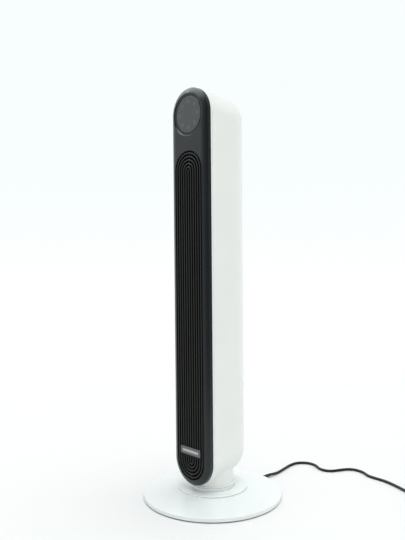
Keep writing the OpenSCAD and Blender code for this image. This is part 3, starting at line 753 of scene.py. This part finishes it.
def make_seat_lip():
    """The fixed lip that the collar turns over."""
    inner = NECK_R + 0.6 * MM
    edge = 0.5 * MM
    outline = [(inner, lip_low.z), (lip_high.x, lip_low.z)]
    outline += arc((lip_high.x - edge, lip_high.z - edge), edge, 0, 90, 4)
    outline += [(inner + 0.3 * MM, lip_high.z), (inner, lip_high.z - 0.3 * MM)]
    lip = piece("foot_lip", turned(outline, 160))
    dressed(evenly_shaded(lip), "foot_white", "base", "seat_lip")


# (Radius, height) outline of a rubber foot in millimetres, with a groove round its face
PAD = [(0, 0), (6.5, 0), (7, 0.3), (7.6, 0.3), (8.1, 0), (8.5, 0.15), (9, 0.8), (9, 2), (0, 2)]
PAD_COUNT = 6
PAD_RING_R = FOOT_R - 20 * MM


def make_rubber_feet():
    points, faces = turned([(r * MM, z * MM) for r, z in PAD], 40, closed=False)
    shapes = []
    for i in range(PAD_COUNT):
        angle = 2 * pi * i / PAD_COUNT
        at_x, at_y = PAD_RING_R * cos(angle), PAD_RING_R * sin(angle)
        shapes.append(([(x + at_x, y + at_y, z) for x, y, z in points], faces))
    dressed(piece("foot_pads", *shapes), "black_rubber", "base", "rubber_feet")


# ---------- swivel and housing ----------

RUN = BACK_CENTRE - trim_low.y
TOP_BACK = TOP_CENTRE - BACK_DROP
BOTTOM_BACK = BOTTOM_CENTRE + BACK_RISE
TOP_LEAN = atan2(BACK_DROP, RUN)
BOTTOM_LEAN = atan2(BACK_RISE, RUN)
NECK_INTO_SHELL = 2 * MM


def housing_underside(x, y):
    """Height of the housing's underside above a point of the floor."""
    if y > BACK_CENTRE:
        return BOTTOM_BACK - sqrt(HALF_W**2 - x**2 - (y - BACK_CENTRE) ** 2)
    centre = BOTTOM_BACK - BACK_RISE * (BACK_CENTRE - y) / RUN
    return centre - sqrt(HALF_W**2 - x**2) / cos(BOTTOM_LEAN)


def make_neck():
    """A tube that ends in the housing's underside."""
    inner = NECK_R - WALL
    low = neck_low.z

    def place(p, a):
        x, y = p[0] * cos(a), p[0] * sin(a)
        top = housing_underside(x, y) + NECK_INTO_SHELL
        return (x, y, low + (top - low) * p[1])

    section = [(NECK_R, 0), (NECK_R, 1), (inner, 1), (inner, 0)]
    neck = edged(piece("tower_neck", swept(section, full_turn(160), place)), 0.4 * MM, 2, 50)
    dressed(evenly_shaded(neck), "white_shell", "tower", "neck")


def make_collar():
    """The collar round the neck's foot."""
    outline = rounded(rectangle(NECK_R, collar_low.z, collar_high.x, collar_high.z), 1.0 * MM, 5)
    collar = piece("tower_collar", turned(outline, 160))
    dressed(evenly_shaded(collar), "white_shell", "tower", "neck_collar")


def housing_front_point(inset, depth, angle, upper):
    """A point of the housing's section at a depth ahead of the round back."""
    radius = HALF_W - inset
    back = (BACK_CENTRE - depth) / RUN
    if upper:
        centre, lean = TOP_BACK + BACK_DROP * back, TOP_LEAN
    else:
        centre, lean = BOTTOM_BACK - BACK_RISE * back, BOTTOM_LEAN
    return (radius * cos(angle), depth, centre + radius * sin(angle) / cos(lean))


# Columns of faces round the housing's back; the intake's window takes up the middle ones
SIDE_STEPS = 45
WINDOW_FROM = 8
WINDOW_TO = SIDE_STEPS - 8
WINDOW_GAP = 0.3 * MM
# Rows of points: the lower front edge, the lower tip, the window's two edges, then the upper tip
TIP_STEPS = 20
LOW_ROW = TIP_STEPS + 2
HIGH_ROW = LOW_ROW + 1


def housing_sheet(inset, front):
    """Rows of points of one wall of the housing, over its back from the lower front edge to the upper."""
    radius = HALF_W - inset
    across = [pi * i / SIDE_STEPS for i in range(SIDE_STEPS + 1)]
    rows = [[housing_front_point(inset, front, -a, False) for a in across]]
    steps = range(TIP_STEPS + 1)
    tilts = [(BOTTOM_BACK, -(pi / 2 - BOTTOM_LEAN) * (1 - i / TIP_STEPS)) for i in steps]
    tilts += [(intake_low.z - WINDOW_GAP, 0), (intake_high.z + WINDOW_GAP, 0)]
    tilts += [(TOP_BACK, (pi / 2 - TOP_LEAN) * i / TIP_STEPS) for i in steps]
    for height, tilt in tilts:
        rows.append([(radius * cos(a), BACK_CENTRE + radius * sin(a) * cos(tilt),
                      height + radius * sin(a) * sin(tilt)) for a in across])
    rows.append([housing_front_point(inset, front, a, True) for a in across])
    return rows


def housing_walls():
    """Points of the outer and the inner wall and the faces of both, with the window left open."""
    front = shell_low.y
    outer = housing_sheet(0, front)
    inner = housing_sheet(WALL, front)
    columns = SIDE_STEPS + 1
    faces = []
    for i in range(len(outer) - 1):
        for k in range(SIDE_STEPS):
            if i == LOW_ROW and WINDOW_FROM <= k < WINDOW_TO:
                continue
            here = i * columns + k
            there = here + columns
            faces.append((here, here + 1, there + 1, there))
    flat_outer = [p for row in outer for p in row]
    flat_inner = [p for row in inner for p in row]
    last_row = len(outer) - 1
    # the flat sides, from the ends of the rows to the front edge
    for k in (0, SIDE_STEPS):
        start = len(flat_outer)
        for sheet, rows in ((flat_outer, outer), (flat_inner, inner)):
            for row in (LOW_ROW, HIGH_ROW):
                sheet.append((rows[row][k][0], front, rows[row][k][2]))
        spots = [r * columns + k for r in range(len(outer))]
        faces.append((spots[0], start, spots[LOW_ROW], spots[1]))
        faces.append((start, start + 1, spots[HIGH_ROW], spots[LOW_ROW]))
        faces.append((start + 1, spots[last_row], spots[last_row - 1], spots[HIGH_ROW]))
    return flat_outer, flat_inner, faces


def open_neck_hole(shell):
    """Cuts the hole above the neck and makes all modifiers of the shell final."""
    below, above = 20 * MM, 78 * MM
    outline = rectangle(0, below, NECK_R - WALL, above)
    cutter = piece("neck_hole_cutter", turned(outline, 160, closed=False))
    hole = shell.modifiers.new("neck hole", "BOOLEAN")
    hole.object = cutter
    hole.operation = "DIFFERENCE"
    hole.solver = "EXACT"
    final = shell.evaluated_get(bpy.context.evaluated_depsgraph_get())
    settled = bpy.data.meshes.new_from_object(final)
    shell.modifiers.clear()
    shell.data = settled
    bpy.data.objects.remove(cutter)


def make_housing():
    shell = edged(piece("tower_shell", thickened(*housing_walls())), 0.6 * MM, 3, 50)
    open_neck_hole(shell)
    dressed(evenly_shaded(shell), "white_shell", "tower", "rear_housing")


def make_trim():
    """The white ring that closes the housing's front edge."""
    front, back = trim_low.y, trim_high.y
    section = rounded([(0, front), (0, back), (WALL, back), (WALL, front)], 0.6 * MM, 4)
    steps = 60
    stations = [(pi + pi * i / steps, False) for i in range(steps + 1)]
    stations += [(pi * i / steps, True) for i in range(steps + 1)]
    ring = swept(section, stations, lambda p, s: housing_front_point(*p, *s))
    dressed(evenly_shaded(piece("tower_trim", ring)), "white_shell", "tower", "housing_trim")


INTAKE_R = HALF_W - 0.2 * MM
SECTOR = radians(33)
SECTOR_PITCH = radians(36)
SECTOR_STEPS = 8
SLOT_HALF = 2.4 * MM
INTAKE_PITCH = 9.4 * MM
# How far the middles of the lowest and the highest slot keep from the intake's ends
FIRST_SLOT = 11.7 * MM
LAST_SLOT = 11 * MM


def intake_angles():
    """Angles of the intake's columns of points: three sectors of slots with bars beside them."""
    half = asin(min(intake_high.x / INTAKE_R, 1))
    angles = [-half]
    for part in (-1, 0, 1):
        start = part * SECTOR_PITCH - SECTOR / 2
        angles += [start + SECTOR * i / SECTOR_STEPS for i in range(SECTOR_STEPS + 1)]
    return angles + [half]


def intake_heights():
    """Heights of the intake's ends and of the lower and upper edge of every slot."""
    heights = [intake_low.z]
    centre = intake_low.z + FIRST_SLOT
    while centre < intake_high.z - LAST_SLOT:
        heights += [centre - SLOT_HALF, centre + SLOT_HALF]
        centre += INTAKE_PITCH
    return heights + [intake_high.z]


def make_intake():
    """The curved rear grille: a sheet with rows of slots in three sectors, thickened and rounded."""
    angles = intake_angles()
    heights = intake_heights()
    sheets = []
    for radius in (INTAKE_R, HALF_W - WALL):
        bow = [(radius * sin(a), BACK_CENTRE + radius * cos(a)) for a in angles]
        sheets.append([(x, y, z) for z in heights for x, y in bow])
    count = len(angles)
    faces = []
    for i in range(len(heights) - 1):
        for k in range(count - 1):
            bar = k % (SECTOR_STEPS + 1) == 0
            if i % 2 == 1 and not bar:
                continue
            here = i * count + k
            there = here + count
            faces.append((here, here + 1, there + 1, there))
    grille = piece("tower_intake", thickened(sheets[0], sheets[1], faces))
    dressed(evenly_shaded(edged(grille, 0.55 * MM, 2, 50)), "white_shell", "tower", "intake_grille")


# ---------- front panel ----------

SHOULDER_X = PANEL_R - EDGE_IN
SHOULDER_DX = SHOULDER_X - FLAT_HALF
SHOULDER_R = (SHOULDER_DX**2 + SHOULDER_DROP**2) / (2 * SHOULDER_DROP)
# The panel's rings end at this distance, and its cut face begins
SEAM_R = 46 * MM
# The edge of the grille's opening, and a line close round it that keeps its rounding narrow
OPENING_R = GRILLE_R + 0.2 * MM
OPENING_BORDER_R = GRILLE_R + 1.4 * MM


def face_depth(x, z):
    """Depth of the panel's face: flat, falling away over the shoulders, dished round the display."""
    across = hypot(x, max(z - TOP_CENTRE, BOTTOM_CENTRE - z, 0))
    depth = FACE_Y
    if across > FLAT_HALF:
        reach = min(across, SHOULDER_X) - FLAT_HALF
        depth += SHOULDER_R - sqrt(SHOULDER_R**2 - reach**2)
    away = hypot(x, z - DISPLAY_Z)
    dish = FACE_Y + DISH_DEPTH * min((DISH_R - away) / DISH_WALL, 1)
    return max(depth, dish)


def dish_rim(angle):
    """Point where the wall of the dish meets the face, in a direction from the display's middle."""
    low, high = DISH_R - DISH_WALL, DISH_R
    # halving the range until it is far finer than the mesh
    for _ in range(24):
        radius = (low + high) / 2
        x, z = radius * cos(angle), DISPLAY_Z + radius * sin(angle)
        if face_depth(x, z) - FACE_Y > 1.001 * DISH_DEPTH * (DISH_R - radius) / DISH_WALL:
            high = radius
        else:
            low = radius
    return (low * cos(angle), DISPLAY_Z + low * sin(angle))


def inside_stadium(x, z, radius, low, high):
    return hypot(x, max(z - high, low - z, 0)) < radius


def panel_cuts():
    """Closed lines on the panel's face, as (x, z): round the grille's opening and the display's dish."""
    cuts = []
    for r in (OPENING_R, OPENING_BORDER_R):
        cuts.append([(r * cos(a), c + r * sin(a)) for a, c in stadium_stations(BOTTOM_CENTRE, GRILLE_TOP)])
    angles = full_turn(128)
    dish_floor_r = DISH_R - DISH_WALL
    for r in (RING_R, RING_R + 0.8 * MM, dish_floor_r - 0.6 * MM, dish_floor_r):
        cuts.append([(r * cos(a), DISPLAY_Z + r * sin(a)) for a in angles])
    cuts.append([dish_rim(a) for a in angles])
    return cuts


def panel_side(stations):
    """Outer and inner points and faces of the panel's wall, edge and shoulders, as rings round it."""
    back = trim_low.y
    edge = FACE_Y + SHOULDER_DROP + EDGE_DROP
    steps = 6
    outer = [(PANEL_R, back), (PANEL_R, edge), (SHOULDER_X, FACE_Y + SHOULDER_DROP)]
    for i in range(1, steps + 1):
        r = SHOULDER_X + (SEAM_R - SHOULDER_X) * i / steps
        outer.append((r, face_depth(r, TOP_CENTRE / 2)))
    inner_r = PANEL_R - WALL
    inner = [(inner_r, back), (inner_r, edge + 1.5 * MM), (inner_r, edge + 0.8 * MM)]
    for r, y in outer[3:]:
        inner.append((min(r - 1.2 * MM, inner_r) if r > SEAM_R else r, y + WALL))
    outside, faces = swept(outer, stations, on_stadium, closed=False)
    inside = swept(inner, stations, on_stadium, closed=False)[0]
    return outside, inside, faces


def panel_lines(stations):
    """Points and lines to cut the panel's face along: closed loops, then upright lines on its shoulders."""
    points = []
    links = []
    seam = [(SEAM_R * cos(a), c + SEAM_R * sin(a)) for a, c in stations]
    for loop in [seam] + panel_cuts():
        start = len(points)
        points += [Vector(p) for p in loop]
        links += [(start + i, start + (i + 1) % len(loop)) for i in range(len(loop))]
    clear = 2 * MM
    count = 8
    for x in (FLAT_HALF, 40 * MM, 42 * MM, 44 * MM):
        for side in (-1, 1):
            low = GRILLE_TOP + sqrt(max(OPENING_BORDER_R**2 - x**2, 0)) + clear
            high = DISPLAY_Z - sqrt(DISH_R**2 - x**2) - clear
            start = len(points)
            points += [Vector((side * x, low + (high - low) * i / count)) for i in range(count + 1)]
            links += [(start + i, start + i + 1) for i in range(count)]
    return points, links


def panel_face(stations):
    """Points and triangles of the face inside the seam, with the grille and the display left open."""
    points, links = panel_lines(stations)
    spots, _, triangles = delaunay_2d_cdt(points, links, [], 0, 1e-7)[:3]
    inside_r = SEAM_R - 1e-5
    open_r = OPENING_R - 0.01 * MM
    kept = []
    for triangle in triangles:
        x = sum(spots[i].x for i in triangle) / 3
        z = sum(spots[i].y for i in triangle) / 3
        in_seam = inside_stadium(x, z, inside_r, BOTTOM_CENTRE, TOP_CENTRE)
        in_grille = inside_stadium(x, z, open_r, BOTTOM_CENTRE, GRILLE_TOP)
        if in_seam and not in_grille and hypot(x, z - DISPLAY_Z) > RING_R * 0.999:
            kept.append(triangle)
    return spots, kept


def make_panel():
    stations = stadium_stations(BOTTOM_CENTRE, TOP_CENTRE)
    outside, inside, faces = panel_side(stations)
    spots, triangles = panel_face(stations)
    start = len(outside)
    depths = [face_depth(p.x, p.y) for p in spots]
    outside += [(p.x, y, p.y) for p, y in zip(spots, depths)]
    inside += [(p.x, y + WALL, p.y) for p, y in zip(spots, depths)]
    faces += [tuple(start + i for i in t) for t in triangles]
    panel = piece("panel_frame", thickened(*joined_sheet(outside, inside, faces)))
    edged(panel, 0.4 * MM, 3, 18)
    dressed(evenly_shaded(panel), "black_panel", "tower", "front_frame")


def joined_sheet(outside, inside, faces):
    """Merges the points that two sheets share, so that only real edges stay open."""
    seen = {}
    new_of = []
    outer, inner = [], []
    for a, b in zip(outside, inside):
        key = tuple(round(v * 1e6) for v in a)
        if key not in seen:
            seen[key] = len(outer)
            outer.append(a)
            inner.append(b)
        new_of.append(seen[key])
    kept = []
    for f in faces:
        corners = tuple(dict.fromkeys(new_of[i] for i in f))
        if len(corners) > 2:
            kept.append(corners)
    return outer, inner, kept


SLAT_FRONT = FACE_Y + 0.2 * MM
SLAT_BACK = FACE_Y + 6 * MM
SLAT_COUNT = 5
BORDER_W = 1.2 * MM
RIB_COUNT = 14
RIB_HALF = 1.1 * MM
RIB_PITCH = 47.7 * MM
FIRST_RIB = 84.8 * MM
# Ribs overlap the slats' backs by this much
RIB_OVERLAP = 2 * MM


def slat_shapes():
    """The closed slats that follow the outline, the border round them, and the middle slat."""
    stations = stadium_stations(BOTTOM_CENTRE, GRILLE_TOP, 40)
    half = SLAT_W / 2
    shapes = []
    for k in range(1, SLAT_COUNT + 1):
        r = k * SLOT_PITCH
        slat = rectangle(r - half, SLAT_FRONT, r + half, SLAT_BACK)
        shapes.append(swept(rounded(slat, 0.55 * MM), stations, on_stadium))
    border = rectangle(GRILLE_R - BORDER_W, FACE_Y, GRILLE_R, grille_high.y)
    shapes.append(swept(rounded(border, 0.3 * MM), stations, on_stadium))
    edge = 0.5 * MM
    core = [(0, SLAT_FRONT), (half - edge, SLAT_FRONT)]
    core += arc((half - edge, SLAT_FRONT + edge), edge, -60, 0, 2)
    core += [(half, SLAT_BACK), (0, SLAT_BACK)]
    middle = stadium_stations(BOTTOM_CENTRE, GRILLE_TOP, 12)
    shapes.append(swept(core, middle, on_stadium, closed=False))
    return shapes


def rib_shapes():
    """Level ribs behind the slats, and an upright one behind the arches at each end."""
    reach = GRILLE_R - 1 * MM
    front, back = SLAT_BACK - RIB_OVERLAP, grille_high.y
    shapes = []
    for i in range(RIB_COUNT):
        z = FIRST_RIB + i * RIB_PITCH
        shapes.append(block((-reach, front, z - RIB_HALF), (reach, back, z + RIB_HALF), 0.4 * MM, axis=0))
    half = 1.2 * MM
    for low, high in ((BOTTOM_CENTRE - reach, BOTTOM_CENTRE), (GRILLE_TOP, GRILLE_TOP + reach)):
        shapes.append(block((-half, front, low), (half, back, high), 0.4 * MM, axis=2))
    return shapes


def make_grille():
    grille = piece("panel_grille", *slat_shapes(), *rib_shapes())
    dressed(evenly_shaded(grille), "black_grille", "tower", "front_grille")


# (Shrink from the outline, depth behind the face) of the nameplate's rings, in millimetres
NAMEPLATE_RIM = [(0, 0.35), (0.15, 0.1), (0.4, 0), (1.0, 0), (1.3, 0.25)]
BAR_HALF_W = 24 * MM
BAR_HALF_H = 2.6 * MM


def make_nameplate():
    """A blank nameplate with a raised rim and one raised bar."""
    low, high = badge_low, badge_high
    middle = (low.z + high.z) / 2
    outline = rounded(rectangle(low.x, low.z - middle, high.x, high.z - middle), 3 * MM, 8)
    face = low.y
    stations = [(0, high.y)] + [(shrink * MM, face + depth * MM) for shrink, depth in NAMEPLATE_RIM]

    def place(p, station):
        shrink, depth = station
        wide = 1 - shrink / high.x
        tall = 1 - shrink / (high.z - middle)
        return (p[0] * wide, depth, middle + p[1] * tall)

    plate = piece("panel_nameplate", swept(outline, stations, place, loop=False))
    dressed(evenly_shaded(plate), "badge_metal", "tower", "badge_plate")
    bar_low = (-BAR_HALF_W, face + 0.05 * MM, middle - BAR_HALF_H)
    bar_high = (BAR_HALF_W, face + 0.5 * MM, middle + BAR_HALF_H)
    bar = piece("panel_nameplate_bar", block(bar_low, bar_high, 0.1 * MM, axis=0))
    dressed(evenly_shaded(bar), "plate_steel", "tower")


def make_display_window():
    """A round window with a slightly domed front and a rounded edge."""
    front, back = lens_low.y, lens_high.y
    edge = 0.7 * MM
    gap = 0.05 * MM
    dome = 0.08 * MM
    steps = 10
    outline = [(0, front)]
    outline += [(LENS_R * i / steps, front + dome * (i / steps) ** 2) for i in range(1, steps)]
    outline += [(LENS_R - edge - 2 * gap, front + 0.09 * MM)]
    outline += arc((LENS_R - edge - gap, front + 0.1 * MM + edge), edge, -85, 0, 6)
    outline += [(LENS_R - gap, back), (0, back)]
    lens = piece("display_window", turned_along_y(outline, DISPLAY_Z, 128, closed=False))
    dressed(evenly_shaded(lens), "display_glass", "tower", "display_lens")


def make_display_ring():
    """The ring round the window."""
    section = rectangle(LENS_R + 0.05 * MM, ring_low.y + 0.5 * MM, RING_R - 0.1 * MM, ring_high.y)
    ring = piece("display_bezel", turned_along_y(rounded(section, 0.3 * MM), DISPLAY_Z, 128))
    dressed(evenly_shaded(ring), "black_panel", "tower", "display_ring")


# ---------- floor and light ----------


FLOOR_RINGS = [(0, 0), (0.5, 0), (1.0, 0), (2.4, 0)]
FLOOR_BELOW = 0.2 * MM
# Distances from the middle between which the floor fades into the backdrop
FADE_START = 0.35
FADE_END = 1.6

# What lights the room: a plain brightness, and patches over it, one after another. Each patch is full
# within its second angle of a direction and gone beyond its first.
ROOM = (1.00, 1.02, 1.01)
ROOM_PATCHES = [
    dict(colour=(0.80, 0.82, 0.82), towards=(0.42, -0.90, -0.05), gone=63, full=20),
    dict(colour=(1.02, 1.05, 1.02), towards=(0.84, 0.30, 0.35), gone=75, full=25),
    dict(colour=(0.50, 0.51, 0.51), towards=(0, 0, 1), gone=62, full=35),
    dict(colour=(3.6, 3.65, 3.65), towards=(0.14, 0.04, 0.98), gone=31, full=15),
]
# What glossy surfaces mirror besides: a dark side and a bright patch
MIRROR_PATCHES = [
    dict(colour=(0.12, 0.13, 0.14), towards=(0.94, -0.34, 0), gone=105, full=50),
    dict(colour=(4.2, 4.3, 4.4), towards=(-0.38, -0.24, 0.89), gone=46, full=22),
]
# What the camera sees behind the fan
BACKDROP = (1.0, 1.0, 1.0)
BACKDROP_PATCHES = [dict(colour=(0.94, 0.99, 0.99), towards=(0, 0, 1), gone=93, full=84)]


def floor_surface(name):
    """Pale and dull, and clear further out."""
    material, nodes, links, shader = node_kit(name)
    shader.inputs["Base Color"].default_value = (0.80, 0.805, 0.805, 1)
    shader.inputs["Roughness"].default_value = 0.7
    shader.inputs["Specular IOR Level"].default_value = 0.2
    place = nodes.new("ShaderNodeTexCoord")
    away = nodes.new("ShaderNodeVectorMath")
    away.operation = "LENGTH"
    links.new(place.outputs["Object"], away.inputs[0])
    fade = spread(nodes, links, away.outputs["Value"], 0, 1, FADE_START, FADE_END)
    clear = nodes.new("ShaderNodeBsdfTransparent")
    mix = nodes.new("ShaderNodeMixShader")
    links.new(fade, mix.inputs["Fac"])
    links.new(shader.outputs["BSDF"], mix.inputs[1])
    links.new(clear.outputs["BSDF"], mix.inputs[2])
    links.new(mix.outputs["Shader"], nodes["Material Output"].inputs["Surface"])
    return material


def make_floor():
    """A pale floor that fades into the backdrop."""
    floor = piece("floor", turned(FLOOR_RINGS, 96, closed=False))
    floor.location.z = -FLOOR_BELOW
    floor.data.materials.append(floor_surface("pale_floor"))


def patched(nodes, links, direction, light, patches):
    """A light with each patch laid over the ones before it."""
    for patch in patches:
        facing = nodes.new("ShaderNodeVectorMath")
        facing.operation = "DOT_PRODUCT"
        facing.inputs[1].default_value = Vector(patch["towards"]).normalized()
        links.new(direction, facing.inputs[0])
        gone, full = cos(radians(patch["gone"])), cos(radians(patch["full"]))
        share = spread(nodes, links, facing.outputs["Value"], 0, 1, gone, full)
        light = blended(nodes, links, share, light, patch["colour"])
    return light


def make_light():
    """Three surroundings in one world, tuned for one view and not one physical room.

    The room lights every surface. Rays that glossy surfaces mirror see it with a dark side and a bright
    patch added, and rays straight from the camera see only a white backdrop.
    """
    world = bpy.data.worlds.new("studio")
    world.use_nodes = True
    scene = bpy.context.scene
    scene.world = world
    nodes, links = world.node_tree.nodes, world.node_tree.links
    direction = nodes.new("ShaderNodeTexCoord").outputs["Generated"]
    room = patched(nodes, links, direction, ROOM, ROOM_PATCHES)
    mirrored = patched(nodes, links, direction, room, MIRROR_PATCHES)
    backdrop = patched(nodes, links, direction, BACKDROP, BACKDROP_PATCHES)
    ray = nodes.new("ShaderNodeLightPath")
    light = blended(nodes, links, ray.outputs["Is Glossy Ray"], room, mirrored)
    light = blended(nodes, links, ray.outputs["Is Camera Ray"], light, backdrop)
    links.new(light, nodes["Background"].inputs["Color"])
    scene.view_settings.view_transform = "Standard"
    scene.view_settings.look = "None"


# ---------- assembly ----------

make_camera()
make_cord_set()
make_foot()
make_seat()
make_seat_lip()
make_rubber_feet()
make_neck()
make_collar()
make_housing()
make_trim()
make_intake()
make_panel()
make_grille()
make_nameplate()
make_display_window()
make_display_ring()
dress_cad_nodes()
make_floor()
make_light()
